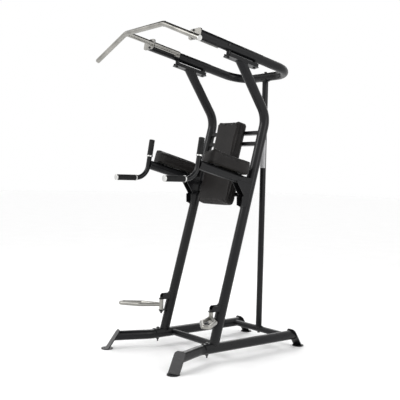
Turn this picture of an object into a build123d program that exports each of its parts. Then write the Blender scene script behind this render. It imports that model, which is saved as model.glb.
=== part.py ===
from build123d import *
import os
from math import cos, radians, sin, tan

os.makedirs("parts", exist_ok=True)

# A free-standing power tower. +Z is up, -Y is the front (where the grips and the pull-up bar
# point), X runs across. The machine is symmetric about X = 0. The origin is on the floor,
# under the middle of the machine.

# Driving dimensions, in millimetres and degrees
half_spacing = 268.0      # rails, uprights, arms and booms all stand in the planes X = +-268
foot_y = -192.5           # where an upright's centre line meets its rail's centre line
rail_z = 84.0             # centre line of the base rails
frame_radius = 31.75      # 63.5 mm frame tube
frame_wall = 2.5
cross_radius = 21.2       # 42.4 mm tube of the base cross members and the rear post
cross_wall = 2.0
plate = 5.0               # saddle, flange and bracket plate

upright_lean = 15.2       # lower part of the upright, leaning back
upright_top_lean = 34.8   # upper part, leaning forward
upright_bend_z = 1566.0
upright_bend_radius = 150.0

boom_z = 1994.0           # boom centre line straight above the upright's foot
boom_slope = 10.1         # the booms rise toward the front
boom_wall = 1.5
bow_radius = 30.15        # rear bow, a sliding fit inside the booms
bow_reach = 655.0         # rear section of the bow, measured along the booms

arm_slope = 14.0          # the arms rise toward the front
arm_z = 1198.0            # arm centre line straight above the upright's foot
arm_radius = 30.15
handle_radius = 15.9
grip_radius = 19.0

step_pin_y = foot_y - 25.0
step_z = 280.0            # middle height of a step's hub


def swept_tube(points, bend_radius, radius, wall):
    """A round tube along a bent centre line."""
    with BuildPart() as tube:
        with BuildLine() as centre_line:
            if len(points) > 2:
                FilletPolyline(*points, radius=bend_radius)
            else:
                Line(*points)
        with BuildSketch(Plane(origin=centre_line.line @ 0, z_dir=centre_line.line % 0)):
            Circle(radius)
            if wall:
                Circle(radius - wall, mode=Mode.SUBTRACT)
        sweep()
    return tube.part


def swept_rod(points, bend_radius, radius):
    """A solid round bar along a bent centre line; also the cutter for a coped tube end."""
    return swept_tube(points, bend_radius, radius, 0)


hex_half_width = 0.85     # a hexagon's half width, head height and nut height, for a bolt of size 1
head_height = 0.65
nut_height = 0.8


def hex_bolt(seat, size, length, nut_at=0.0):
    """A hex bolt. The head stands behind the seat plane and the shank runs along its +Z."""
    with BuildPart() as bolt:
        with BuildSketch(seat):
            RegularPolygon(hex_half_width * size, 6, major_radius=False)
        extrude(amount=-head_height * size)
        with BuildSketch(seat):
            Circle(size / 2)
        extrude(amount=length)
        if nut_at:
            with BuildSketch(seat.offset(nut_at)):
                RegularPolygon(hex_half_width * size, 6, major_radius=False)
            extrude(amount=nut_height * size)
    return bolt.part


def drill(seat, radius, depth):
    """A straight hole cutter along a plane's +Z."""
    with BuildPart() as cutter:
        with BuildSketch(seat):
            Circle(radius)
        extrude(amount=depth)
    return cutter.part


def finish(part, name):
    part.label = name
    export_step(part, f"parts/{name}.step")


sides = (("left", -1), ("right", 1))


# Base rails: one tube per side, straight under the machine and bent outward in front of the
# upright. Both ends are mitred to the sloping foot plates that close them.
rail_rear = 690.0         # rail's rear end, behind the upright's foot
rail_bend = 110.0         # splay starts this far ahead of the upright's foot
rail_splay = 21.0
rail_front = 200.0        # length ahead of the splay, front to back
foot_run = 78.0           # floor distance covered by the sloping part of a foot
foot_top_z = 122.0
foot_width = 78.0
foot_reach = 120.0        # rail end to flange tip
foot_plate = 6.0
foot_corner = 25.0        # upper corners of a foot's sloping plate
anchor_radius = 5.5       # hole for a floor anchor
anchor_inset = 22.0
rail_bend_radius = 150.0
saddle_bolt_gap = 50.0    # rail bolt, in front of the upright
bolt_10 = 10.0
bolt_8 = 8.0
bolt_6 = 6.0
bolt_clearance = 0.25


def rail_ends(sign):
    """Rail end points and outward directions, rear then front."""
    x = sign * half_spacing
    bend = Vector(x, foot_y - rail_bend, rail_z)
    outward = Vector(sign * sin(radians(rail_splay)), -cos(radians(rail_splay)), 0)
    front = bend + outward * (rail_front / cos(radians(rail_splay)))
    rear = Vector(x, foot_y + rail_rear, rail_z)
    return rear, Vector(0, 1, 0), bend, front, outward


def foot_slope_plane(end, outward):
    """Inner face of a foot's sloping plate, Z outward and up."""
    across = outward.cross(Vector(0, 0, 1))
    base = Vector(end.X, end.Y, 0) + outward * foot_run
    up_slope = (Vector(end.X, end.Y, foot_top_z) - base).normalized()
    return Plane(origin=base, x_dir=up_slope, z_dir=across.cross(up_slope) * -1)


for side, sign in sides:
    rear, rear_out, bend, front, front_out = rail_ends(sign)
    tube = swept_tube(
        [rear + rear_out * foot_run, bend, front + front_out * foot_run],
        rail_bend_radius, frame_radius, frame_wall,
    )
    with BuildPart() as rail:
        add(tube)
        split(bisect_by=foot_slope_plane(rear, rear_out), keep=Keep.BOTTOM)
        split(bisect_by=foot_slope_plane(front, front_out), keep=Keep.BOTTOM)
        with Locations((rear.X, foot_y - saddle_bolt_gap, rail_z)):
            Cylinder(bolt_10 / 2 + bolt_clearance, 4 * frame_radius, mode=Mode.SUBTRACT)
    finish(rail.part, f"{side}_base_rail")

    # Feet: a strip bent once, sloping down from the rail's end to a flange flat on the floor
    for place, end, outward in (("rear", rear, rear_out), ("front", front, front_out)):
        slope = foot_slope_plane(end, outward)
        slope_length = (foot_run ** 2 + foot_top_z ** 2) ** 0.5
        flat = Plane(origin=(end.X, end.Y, 0), x_dir=outward, z_dir=(0, 0, 1))
        with BuildPart() as foot:
            with BuildSketch(slope):
                with Locations((slope_length / 2, 0)):
                    Rectangle(slope_length, foot_width)
                fillet(vertices().group_by(Axis.X)[-1], foot_corner)
            extrude(amount=foot_plate)
            with BuildSketch(flat):
                with Locations(((foot_run + foot_reach - foot_width / 2) / 2, 0)):
                    Rectangle(foot_reach - foot_width / 2 - foot_run, foot_width)
                with Locations((foot_reach - foot_width / 2, 0)):
                    Circle(foot_width / 2)
                with Locations((foot_reach - anchor_inset, 0)):
                    Circle(anchor_radius, mode=Mode.SUBTRACT)
            extrude(amount=foot_plate)
            split(bisect_by=Plane.XY, keep=Keep.TOP)
        finish(foot.part, f"{side}_{place}_foot")


# Base cross members: straight tubes coped onto the rails, just behind the uprights and
# under the rear post
front_cross_y = foot_y + 66.0
cut_reach = 70.0          # half length of a cutter that copes one tube onto another
post_y = foot_y + bow_reach * cos(radians(boom_slope))

for name, y in (("front_cross_tube", front_cross_y), ("rear_cross_tube", post_y)):
    tube = swept_tube(
        [(-half_spacing, y, rail_z), (half_spacing, y, rail_z)], 0, cross_radius, cross_wall
    )
    rails = [
        swept_rod([(x, y - cut_reach, rail_z), (x, y + cut_reach, rail_z)], 0, frame_radius)
        for x in (-half_spacing, half_spacing)
    ]
    with BuildPart() as cross_tube:
        add(tube)
        add(rails, mode=Mode.SUBTRACT)
        if name == "rear_cross_tube":
            with Locations((0, y, rail_z)):
                Cylinder(bolt_10 / 2 + bolt_clearance, 4 * cross_radius, mode=Mode.SUBTRACT)
    finish(cross_tube.part, name)


# Uprights: a tube bent once, leaning back and then forward. A point on the lower part is
# named by its distance along the upright from the foot and its distance in front of it.
def upright_frame(x):
    """Local frame of an upright's lower part: Z along it, Y ahead of it."""
    up = Vector(0, sin(radians(upright_lean)), cos(radians(upright_lean)))
    return Plane(origin=(x, foot_y, rail_z), x_dir=(-1, 0, 0), z_dir=up)


def upright_points(x):
    bend = Vector(
        x, foot_y + (upright_bend_z - rail_z) * tan(radians(upright_lean)), upright_bend_z
    )
    rise = boom_z - upright_bend_z
    top = bend + Vector(0, -rise * tan(radians(upright_top_lean)), rise)
    return [Vector(x, foot_y, rail_z), bend, top]


def boom_frame(x):
    """Local frame of a boom: X across, Y rearward along it, Z square to it."""
    up = Vector(0, sin(radians(boom_slope)), cos(radians(boom_slope)))
    return Plane(origin=(x, foot_y, boom_z), x_dir=(1, 0, 0), z_dir=up)


boss_height = 32.0        # gap between a boom and the plate under it
boss_radius = 14.0
boss_spots = (73.0, 302.0)
top_plate_front = 56.0
top_plate_rear = 318.0
top_plate_width = 64.0
saddle_front = 80.0
saddle_rear = 40.0
saddle_edge = 4.8         # a saddle's long edges, above the rail's centre line
top_plate_corner = 10.0
top_plate_wall = 18.0     # turned-up long edges
top_plate_level = -(frame_radius + boss_height)

for side, sign in sides:
    x = sign * half_spacing
    boom = boom_frame(x)
    upright_tube = swept_tube(
        upright_points(x), upright_bend_radius, frame_radius, frame_wall
    )
    saddle_cut = swept_rod(
        [(x, foot_y - cut_reach, rail_z), (x, foot_y + cut_reach, rail_z)], 0, frame_radius + plate
    )
    with BuildPart() as upright:
        add(upright_tube)
        add(saddle_cut, mode=Mode.SUBTRACT)
        split(bisect_by=boom.offset(top_plate_level - plate), keep=Keep.BOTTOM)
    finish(upright.part, f"{side}_upright")

    # Foot saddle: a curved plate over the rail, welded under the upright and bolted
    # through the rail in front
    with BuildPart() as saddle:
        with BuildSketch(Plane.XZ.offset(saddle_front - foot_y)):
            with Locations((x, rail_z)):
                Circle(frame_radius + plate)
                Circle(frame_radius, mode=Mode.SUBTRACT)
            with Locations((x, rail_z + saddle_edge)):
                Rectangle(
                    3 * frame_radius, 3 * frame_radius, align=(Align.CENTER, Align.MAX), mode=Mode.SUBTRACT
                )
        extrude(amount=-saddle_front - saddle_rear)
        with Locations((x, foot_y - saddle_bolt_gap, rail_z)):
            Cylinder(bolt_10 / 2 + bolt_clearance, 4 * frame_radius, mode=Mode.SUBTRACT)
    finish(saddle.part, f"{side}_foot_saddle")

    # Top plate: a shallow channel, parallel to the boom, held below it by two bosses
    with BuildPart() as top_plate:
        with BuildSketch(boom.offset(top_plate_level - plate)):
            with Locations((0, (top_plate_front + top_plate_rear) / 2)):
                RectangleRounded(top_plate_width, top_plate_rear - top_plate_front, top_plate_corner)
            with Locations((0, boss_spots[0]), (0, boss_spots[1])):
                Circle(bolt_10 / 2 + bolt_clearance, mode=Mode.SUBTRACT)
        extrude(amount=plate)
        with BuildSketch(boom.offset(top_plate_level)):
            with Locations((0, (top_plate_front + top_plate_rear) / 2)):
                with Locations((-(top_plate_width - plate) / 2, 0), ((top_plate_width - plate) / 2, 0)):
                    Rectangle(plate, top_plate_rear - top_plate_front - 2 * top_plate_corner)
        extrude(amount=top_plate_wall)
    finish(top_plate.part, f"{side}_top_plate")


# Booms: straight tubes with two threaded bosses below and a flange at the front end
boom_front = -183.0
boom_rear = 345.0
side_tube_x = 205.0       # chrome side tubes of the pull-up bar, inside the booms
side_tube_front = -400.0
side_tube_rear = 30.0
bar_radius = 15.9
bar_wall = 2.0
flange_centre_x = 245.0
flange_width = 114.0
flange_height = 66.0
flange_bolt_x = 230.5     # between the boom and the side tube
flange_bolt_rise = 24.0
lug_bolt_along = 44.0
lug_plate = 5.0
flange_corner = 18.0
thread_play = 0.05
lug_bore = 140.0

for side, sign in sides:
    x = sign * half_spacing
    boom = boom_frame(x)
    middle = boom_frame(0)
    boom_tube = swept_tube(
        [boom.from_local_coords((0, boom_front, 0)), boom.from_local_coords((0, boom_rear, 0))],
        0, frame_radius, boom_wall,
    )
    boom_rod = swept_rod(
        [boom.from_local_coords((0, boom_front, 0)), boom.from_local_coords((0, boom_rear, 0))],
        0, frame_radius - boom_wall / 2,
    )
    flange_plane = Plane(
        origin=middle.from_local_coords((sign * flange_centre_x, boom_front, 0)),
        x_dir=(1, 0, 0), z_dir=middle.y_dir * -1,
    )
    bolt_across = sign * (flange_bolt_x - flange_centre_x)
    lug_hole = drill(
        Plane(
            origin=middle.from_local_coords((sign * side_tube_x, lug_bolt_along, 0)),
            x_dir=middle.y_dir, z_dir=(sign, 0, 0),
        ),
        bolt_8 / 2 + bolt_clearance, lug_bore,
    )
    with BuildPart() as boom_weldment:
        with BuildSketch(boom.offset(top_plate_level)):
            with Locations((0, boss_spots[0]), (0, boss_spots[1])):
                Circle(boss_radius)
        extrude(amount=boss_height + frame_radius)
        add(boom_rod, mode=Mode.SUBTRACT)
        add(boom_tube)
        with BuildSketch(flange_plane):
            RectangleRounded(flange_width, flange_height, flange_corner)
            with Locations((sign * (half_spacing - flange_centre_x), 0)):
                Circle(frame_radius - boom_wall, mode=Mode.SUBTRACT)
            with Locations((sign * (side_tube_x - flange_centre_x), 0)):
                Circle(bar_radius + bolt_clearance, mode=Mode.SUBTRACT)
            with Locations((bolt_across, flange_bolt_rise), (bolt_across, -flange_bolt_rise)):
                Circle(bolt_8 / 2 + bolt_clearance, mode=Mode.SUBTRACT)
        extrude(amount=plate)
        with Locations(boom.offset(top_plate_level)):
            with Locations((0, boss_spots[0], 0), (0, boss_spots[1], 0)):
                Cylinder(bolt_10 / 2 + thread_play, 50, mode=Mode.SUBTRACT)
        add(lug_hole, mode=Mode.SUBTRACT)
    finish(boom_weldment.part, f"{side}_boom")


# Rear bow: a U of slightly smaller tube that slides into both booms
bow_overlap = 110.0
bow_wall = 2.0
bow_bend_radius = 150.0
middle = boom_frame(0)
bow_points = [
    middle.from_local_coords(p)
    for p in (
        (-half_spacing, boom_rear - bow_overlap, 0), (-half_spacing, bow_reach, 0),
        (half_spacing, bow_reach, 0), (half_spacing, boom_rear - bow_overlap, 0),
    )
]
bow_tube = swept_tube(bow_points, bow_bend_radius, bow_radius, bow_wall)
bow_centre = middle.from_local_coords((0, bow_reach, 0))
with BuildPart() as rear_bow:
    add(bow_tube)
    with Locations(bow_centre):
        Cylinder(bolt_10 / 2 + bolt_clearance, 4 * bow_radius, mode=Mode.SUBTRACT)
finish(rear_bow.part, "rear_bow")


# Rear post: upright tube between the rear cross tube and the bow, with a welded saddle
# cup at each end and a threaded plug behind each cup
post_seat_z = rail_z + cross_radius
post_top_z = bow_centre.Z - bow_radius
post_tube = swept_tube([(0, post_y, rail_z), (0, post_y, bow_centre.Z)], 0, cross_radius, cross_wall)
cross_cut = swept_rod([(-cut_reach, post_y, rail_z), (cut_reach, post_y, rail_z)], 0, cross_radius)
bow_cut = swept_rod(
    [(-cut_reach, bow_centre.Y, bow_centre.Z), (cut_reach, bow_centre.Y, bow_centre.Z)], 0, bow_radius
)
plug_length = 40.0
cup_width = 56.0
cup_wall = 4.0
top_cup_depth = 11.0
low_cup_depth = 9.0
with BuildPart() as rear_post:
    add(post_tube)
    with Locations((0, post_y, rail_z + cross_radius / 2 + plug_length / 2)):
        Cylinder(cross_radius - cross_wall, plug_length)
    with Locations((0, post_y, post_top_z + bow_radius / 2 - plug_length / 2)):
        Cylinder(cross_radius - cross_wall, plug_length)
    with BuildSketch(Plane.YZ.offset(-cup_width / 2)):
        with Locations((bow_centre.Y, bow_centre.Z)):
            Circle(bow_radius + cup_wall)
            Rectangle(3 * bow_radius, 2 * bow_radius, align=(Align.CENTER, Align.MIN), mode=Mode.SUBTRACT)
            Rectangle(3 * bow_radius, 2 * (bow_radius - top_cup_depth), mode=Mode.SUBTRACT)
    extrude(amount=cup_width)
    with BuildSketch(Plane.YZ.offset(-cup_width / 2)):
        with Locations((post_y, rail_z)):
            Circle(cross_radius + cup_wall)
            Rectangle(3 * cross_radius, 2 * cross_radius, align=(Align.CENTER, Align.MAX), mode=Mode.SUBTRACT)
            Rectangle(3 * cross_radius, 2 * (cross_radius - low_cup_depth), mode=Mode.SUBTRACT)
    extrude(amount=cup_width)
    add(cross_cut, mode=Mode.SUBTRACT)
    add(bow_cut, mode=Mode.SUBTRACT)
    with Locations((0, post_y, post_seat_z), (0, post_y, post_top_z)):
        Cylinder(bolt_10 / 2 + thread_play, 60, mode=Mode.SUBTRACT)
finish(rear_post.part, "rear_post")

# Blank label plate, curved around the front of the post
label_low = 1235.0
label_high = 1435.0
label_thickness = 1.5
with BuildPart() as post_label:
    with BuildSketch(Plane.XY.offset(label_low)):
        with Locations((0, post_y)):
            Circle(cross_radius + label_thickness)
            Circle(cross_radius, mode=Mode.SUBTRACT)
            Rectangle(
                3 * cross_radius, 3 * cross_radius, align=(Align.CENTER, Align.MIN), mode=Mode.SUBTRACT
            )
    extrude(amount=label_high - label_low)
finish(post_label.part, "post_label")


# Pull-up bar: one chromed weldment. The bar has a level middle and two drooping free ends;
# a side tube runs rearward along each boom, with a flange on the boom's front end and a
# lug bolted to the boom's side.
bar_half_middle = 206.0
bar_half_span = 553.0
bar_drop = 134.0
bar_bend_radius = 90.0
lug_length = 44.0
lug_height = 30.0
lug_middle = 34.0         # along the boom
bridge_length = 16.0      # short bar that joins a lug to its side tube
bridge_height = 12.0
bridge_middle = 20.0
cap_dome = 4.0
cap_plug = 12.0
bar_centre = middle.from_local_coords((0, side_tube_front, 0))
bar_points = [
    (-bar_half_span, bar_centre.Y, bar_centre.Z - bar_drop),
    (-bar_half_middle, bar_centre.Y, bar_centre.Z),
    (bar_half_middle, bar_centre.Y, bar_centre.Z),
    (bar_half_span, bar_centre.Y, bar_centre.Z - bar_drop),
]
bar_tube = swept_tube(bar_points, bar_bend_radius, bar_radius, bar_wall)
bar_rod = swept_rod(bar_points, bar_bend_radius, bar_radius - bar_wall / 2)
side_tubes = [
    swept_tube(
        [
            middle.from_local_coords((sign * side_tube_x, side_tube_front, 0)),
            middle.from_local_coords((sign * side_tube_x, side_tube_rear, 0)),
        ],
        0, bar_radius, bar_wall,
    )
    for side, sign in sides
]
lug_inner = half_spacing - frame_radius - lug_plate
bridge_start = side_tube_x + bar_radius - 2 * bar_wall
with BuildPart() as pull_up_bar:
    add(side_tubes)
    add(bar_rod, mode=Mode.SUBTRACT)
    add(bar_tube)
    for side, sign in sides:
        flange_front = Plane(
            origin=middle.from_local_coords((sign * flange_centre_x, boom_front - plate, 0)),
            x_dir=(1, 0, 0), z_dir=middle.y_dir * -1,
        )
        with BuildSketch(flange_front):
            RectangleRounded(flange_width, flange_height, flange_corner)
            with Locations((sign * (side_tube_x - flange_centre_x), 0)):
                Circle(bar_radius - bar_wall / 4, mode=Mode.SUBTRACT)
            bolt_across = sign * (flange_bolt_x - flange_centre_x)
            with Locations((bolt_across, flange_bolt_rise), (bolt_across, -flange_bolt_rise)):
                Circle(bolt_8 / 2 + bolt_clearance, mode=Mode.SUBTRACT)
        extrude(amount=plate)
        with Locations(middle):
            with Locations((sign * (lug_inner + lug_plate / 2), lug_middle, 0)):
                Box(lug_plate, lug_length, lug_height)
            with Locations((sign * (bridge_start + lug_inner) / 2, bridge_middle, 0)):
                Box(lug_inner - bridge_start, bridge_length, bridge_height)
        lug_hole = drill(
            Plane(
                origin=middle.from_local_coords((sign * (lug_inner - 1), lug_bolt_along, 0)),
                x_dir=middle.y_dir, z_dir=(sign, 0, 0),
            ),
            bolt_8 / 2 + bolt_clearance, lug_plate + 2,
        )
        add(lug_hole, mode=Mode.SUBTRACT)
finish(pull_up_bar.part, "pull_up_bar")

# Domed plugs in the bar's two free ends
with BuildPart() as bar_end_caps:
    for side, sign in sides:
        run = Vector(sign * (bar_half_span - bar_half_middle), 0, -bar_drop).normalized()
        tip = Vector(sign * bar_half_span, bar_centre.Y, bar_centre.Z - bar_drop)
        end = Plane(origin=tip, x_dir=(0, 1, 0), z_dir=run)
        with BuildSketch(end):
            Circle(bar_radius)
        extrude(amount=cap_dome)
        with BuildSketch(end.offset(-cap_plug)):
            Circle(bar_radius - bar_wall)
        extrude(amount=cap_plug)
finish(bar_end_caps.part, "bar_end_caps")


# Back pads: square cross bars coped between the uprights, a board screwed to each pair of
# bars, and a cushion on each board
bar_size = 25.4
bar_corner = 3.0
square_wall = 2.0
board_thickness = 12.0
board_corner = 12.0
back_boards = (
    # name, bar positions along the upright, pad bottom, pad top, width, cushion thickness
    ("upper", (1351.0, 1426.0), 1210.0, 1489.0, 234.0, 50.0),
    ("lower", (1000.0, 1075.0), 923.0, 1185.0, 326.0, 40.0),
)
back_plane = upright_frame(0)
upright_rods = [
    swept_rod(upright_points(x), upright_bend_radius, frame_radius)
    for x in (-half_spacing, half_spacing)
]
back_screw_spread = 70.0
back_screw_seats = []
pad_radius = 28.0
pad_edge_radius = 14.0
board_inset = 8.0         # board's edge inside the cushion's

for name, bars, low, high, width, thickness in back_boards:
    for number, along in enumerate(bars, 1):
        hole_spots = [(-back_screw_spread, 0), (back_screw_spread, 0)]
        bar_front = Plane(
            origin=back_plane.from_local_coords((0, bar_size / 2, along)),
            x_dir=(1, 0, 0), z_dir=back_plane.y_dir,
        )
        with BuildPart() as bar:
            with BuildSketch(Plane(bar_front.origin, x_dir=back_plane.y_dir, z_dir=(1, 0, 0))):
                with Locations((-bar_size / 2, 0)):
                    RectangleRounded(bar_size, bar_size, bar_corner)
                    RectangleRounded(
                        bar_size - 2 * square_wall, bar_size - 2 * square_wall, bar_corner - square_wall / 2,
                        mode=Mode.SUBTRACT,
                    )
            extrude(amount=half_spacing, both=True)
            add(upright_rods, mode=Mode.SUBTRACT)
            with BuildSketch(bar_front):
                with Locations(hole_spots):
                    Circle(bolt_6 / 2 + bolt_clearance)
            extrude(amount=-bar_size - 1, mode=Mode.SUBTRACT)
        finish(bar.part.solids().sort_by(lambda s: abs(s.center().X))[0], f"{name}_pad_bar_{number}")
        back_screw_seats += [
            Plane(
                origin=back_plane.from_local_coords((spot[0], -bar_size / 2, along)),
                x_dir=(1, 0, 0), z_dir=back_plane.y_dir,
            )
            for spot in hole_spots
        ]

    middle_along = (low + high) / 2
    board_plane = Plane(
        origin=back_plane.from_local_coords((0, bar_size / 2, middle_along)),
        x_dir=(1, 0, 0), z_dir=back_plane.y_dir,
    )
    rise = [((-1) ** k * back_screw_spread, bars[k // 2] - middle_along) for k in range(4)]
    across = board_plane.y_dir.dot(back_plane.z_dir)
    with BuildPart() as board:
        with BuildSketch(board_plane):
            RectangleRounded(width - 2 * board_inset, high - low - 2 * board_inset, pad_radius - board_inset)
            with Locations([(a, across * b) for a, b in rise]):
                Circle(bolt_6 / 2 + thread_play, mode=Mode.SUBTRACT)
        extrude(amount=board_thickness)
    finish(board.part, f"{name}_back_board")

    with BuildPart() as cushion:
        with BuildSketch(board_plane.offset(board_thickness)):
            RectangleRounded(width, high - low, pad_radius)
        extrude(amount=thickness)
        front_face = faces().sort_by(Axis(board_plane.origin, board_plane.z_dir))[-1]
        fillet(front_face.edges(), pad_edge_radius)
    finish(cushion.part, f"{name}_back_pad")


# Arms: a sloping tube per side, carried on a welded bracket in front of the upright, with
# two flat seats on top for the pad's board
arm_front = 158.0
arm_rear = -290.0
seat_level = 33.0         # underside of the pad's board above the arm's centre line
seat_plate = 6.0
seat_spots = (50.0, -150.0)
seat_block_width = 30.0
seat_block_length = 36.0
seat_width = 76.0
seat_length = 44.0
seat_corner = 6.0
seat_screw = 29.0         # screws, each side of the arm
pad_front = 97.0
pad_rear = -215.0
arm_pad_width = 100.0
arm_board_width = 92.0
arm_pad_outer = 86.8      # board and cushion together, outer side
arm_pad_inner = 64.8
arm_pad_corner = 9.0
bracket_low = 913.0       # bracket's saddle, along the upright
bracket_high = 1160.0
cheek_offset = 24.0
cheek_outline = (         # distance behind the upright's foot, height
    (145, 1134), (203, 1047), (189, 1040), (191, 984), (217, 973), (246, 973), (297, 1158), (145, 1166),
)
arm_screw_seats = []

# Handles: one bent tube per side, from the vertical grip past the arm's front end to the
# level dip grip
grip_top = (foot_y - 132.0, 1397.0)
handle_bend = (foot_y - 172.0, 1146.0)
dip_end = (foot_y - 403.0, 1146.0)
handle_bend_radius = 95.0
handle_wall = 2.0
sleeve_play = 0.02        # a grip or collar pressed on the handle
grip_dome = 5.0
grip_edge = 4.0
collar_rise = 1.5
cap_rise = 1.0
cap_edge = 3.0
collar_length = 8.0
dip_grip_start = foot_y - 262.0
vertical_grip_start = 103.0   # from the handle's top end
cap_length = 8.0


def arm_frame(x):
    """Local frame of an arm: X across, Y forward along it, Z square to it."""
    up = Vector(0, sin(radians(arm_slope)), cos(radians(arm_slope)))
    return Plane(origin=(x, foot_y, arm_z), x_dir=(-1, 0, 0), z_dir=up)


collars = []
dip_caps = []
for side, sign in sides:
    x = sign * half_spacing
    arm = arm_frame(x)
    arm_line = [arm.from_local_coords((0, arm_rear, 0)), arm.from_local_coords((0, arm_front, 0))]
    arm_tube = swept_tube(arm_line, 0, arm_radius, frame_wall)
    arm_rod = swept_rod(arm_line, 0, arm_radius)
    arm_bore = swept_rod(arm_line, 0, arm_radius - frame_wall / 2)
    handle_line = [(x, *grip_top), (x, *handle_bend), (x, *dip_end)]
    handle_tube = swept_tube(handle_line, handle_bend_radius, handle_radius, handle_wall)
    handle_rod = swept_rod(handle_line, handle_bend_radius, handle_radius)
    upright_rod = swept_rod(upright_points(x), upright_bend_radius, frame_radius)
    saddle_rod = swept_rod(upright_points(x), upright_bend_radius, frame_radius + plate)

    with BuildPart() as arm_beam:
        with BuildSketch(arm):
            with Locations([(0, spot) for spot in seat_spots]):
                Rectangle(seat_block_width, seat_block_length)
        extrude(amount=seat_level - seat_plate / 2)
        with BuildSketch(arm.offset(seat_level - seat_plate)):
            with Locations([(0, spot) for spot in seat_spots]):
                RectangleRounded(seat_width, seat_length, seat_corner)
                with Locations((-seat_screw, 0), (seat_screw, 0)):
                    Circle(bolt_6 / 2 + bolt_clearance, mode=Mode.SUBTRACT)
        extrude(amount=seat_plate)
        add(arm_bore, mode=Mode.SUBTRACT)
        add(arm_tube)
        add(handle_rod, mode=Mode.SUBTRACT)
        add(saddle_rod, mode=Mode.SUBTRACT)
    front_piece = arm_beam.part.solids().sort_by(Axis.Y)[0]
    finish(front_piece, f"{side}_arm")
    arm_screw_seats += [
        Plane(
            origin=arm.from_local_coords((a, spot, seat_level - seat_plate)),
            x_dir=(1, 0, 0), z_dir=arm.z_dir,
        )
        for spot in seat_spots for a in (-seat_screw, seat_screw)
    ]

    # Arm bracket: a curved saddle on the front of the upright and two cheeks that carry the
    # arm from below, with a stepped front edge
    lower = upright_frame(x)
    with BuildPart() as bracket:
        with BuildSketch(lower.offset(bracket_low)):
            Circle(frame_radius + plate)
            with Locations((0, bar_size / 2 + 1)):
                Rectangle(
                    3 * frame_radius, 2 * frame_radius, align=(Align.CENTER, Align.MAX), mode=Mode.SUBTRACT
                )
        extrude(amount=bracket_high - bracket_low)
        with BuildSketch(Plane.YZ.offset(x - cheek_offset - plate), Plane.YZ.offset(x + cheek_offset)):
            with BuildLine():
                Polyline(*[(foot_y + y, z) for y, z in cheek_outline], close=True)
            make_face()
        extrude(amount=plate)
        add(upright_rod, mode=Mode.SUBTRACT)
        add(arm_rod, mode=Mode.SUBTRACT)
    finish(bracket.part, f"{side}_arm_bracket")

    with BuildPart() as handle:
        add(handle_tube)
    finish(handle.part, f"{side}_handle_tube")

    top_down = (Vector(x, *handle_bend) - Vector(x, *grip_top)).normalized()
    grip_plane = Plane(origin=(x, *grip_top), x_dir=(1, 0, 0), z_dir=top_down)
    with BuildPart() as vertical_grip:
        with BuildSketch(grip_plane.offset(-grip_dome)):
            Circle(grip_radius)
        extrude(amount=vertical_grip_start + grip_dome)
        fillet(edges().sort_by(Axis.Z)[-1], grip_edge)
        with BuildSketch(grip_plane):
            Circle(handle_radius + sleeve_play)
        extrude(amount=vertical_grip_start, mode=Mode.SUBTRACT)
    finish(vertical_grip.part, f"{side}_vertical_grip")

    dip_plane = Plane(origin=(x, dip_grip_start, dip_end[1]), x_dir=(1, 0, 0), z_dir=(0, -1, 0))
    with BuildPart() as dip_grip:
        with BuildSketch(dip_plane):
            Circle(grip_radius)
            Circle(handle_radius + sleeve_play, mode=Mode.SUBTRACT)
        extrude(amount=dip_grip_start - dip_end[0])
    finish(dip_grip.part, f"{side}_dip_grip")

    for collar_plane in (grip_plane.offset(vertical_grip_start), dip_plane.offset(-collar_length)):
        with BuildPart() as collar:
            with BuildSketch(collar_plane):
                Circle(grip_radius + collar_rise)
                Circle(handle_radius + sleeve_play, mode=Mode.SUBTRACT)
            extrude(amount=collar_length)
        collars.append(collar.part)
    with BuildPart() as dip_cap:
        with BuildSketch(Plane(origin=(x, *dip_end), x_dir=(1, 0, 0), z_dir=(0, -1, 0))):
            Circle(grip_radius + cap_rise)
        extrude(amount=cap_length)
        fillet(edges().sort_by(Axis.Y)[0], cap_edge)
    dip_caps.append(dip_cap.part)

    # Arm pad: a board on the two seats and a cushion that is thicker on its outer side
    with BuildPart() as arm_board:
        with BuildSketch(arm.offset(seat_level)):
            with Locations((0, (pad_front + pad_rear) / 2)):
                RectangleRounded(arm_board_width, pad_front - pad_rear - 2 * board_inset, board_corner)
            with Locations([(a, spot) for spot in seat_spots for a in (-seat_screw, seat_screw)]):
                Circle(bolt_6 / 2 + thread_play, mode=Mode.SUBTRACT)
        extrude(amount=board_thickness)
    finish(arm_board.part, f"{side}_arm_board")

    half = arm_pad_width / 2
    outer = -sign * half
    pad_back_plane = Plane(
        origin=arm.from_local_coords((0, pad_rear, seat_level)), x_dir=arm.x_dir, z_dir=arm.y_dir * -1,
    )
    level = pad_back_plane.y_dir.dot(arm.z_dir)
    with BuildPart() as arm_pad:
        with BuildSketch(pad_back_plane):
            with BuildLine():
                Polyline(
                    (outer, level * board_thickness), (-outer, level * board_thickness),
                    (-outer, level * arm_pad_inner), (outer, level * arm_pad_outer), close=True,
                )
            make_face()
            fillet(vertices(), arm_pad_corner)
        extrude(amount=pad_rear - pad_front)
    finish(arm_pad.part, f"{side}_arm_pad")

for name, pieces in (("grip_collars", collars), ("dip_end_caps", dip_caps)):
    with BuildPart() as group:
        add(pieces)
    finish(group.part, name)


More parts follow.
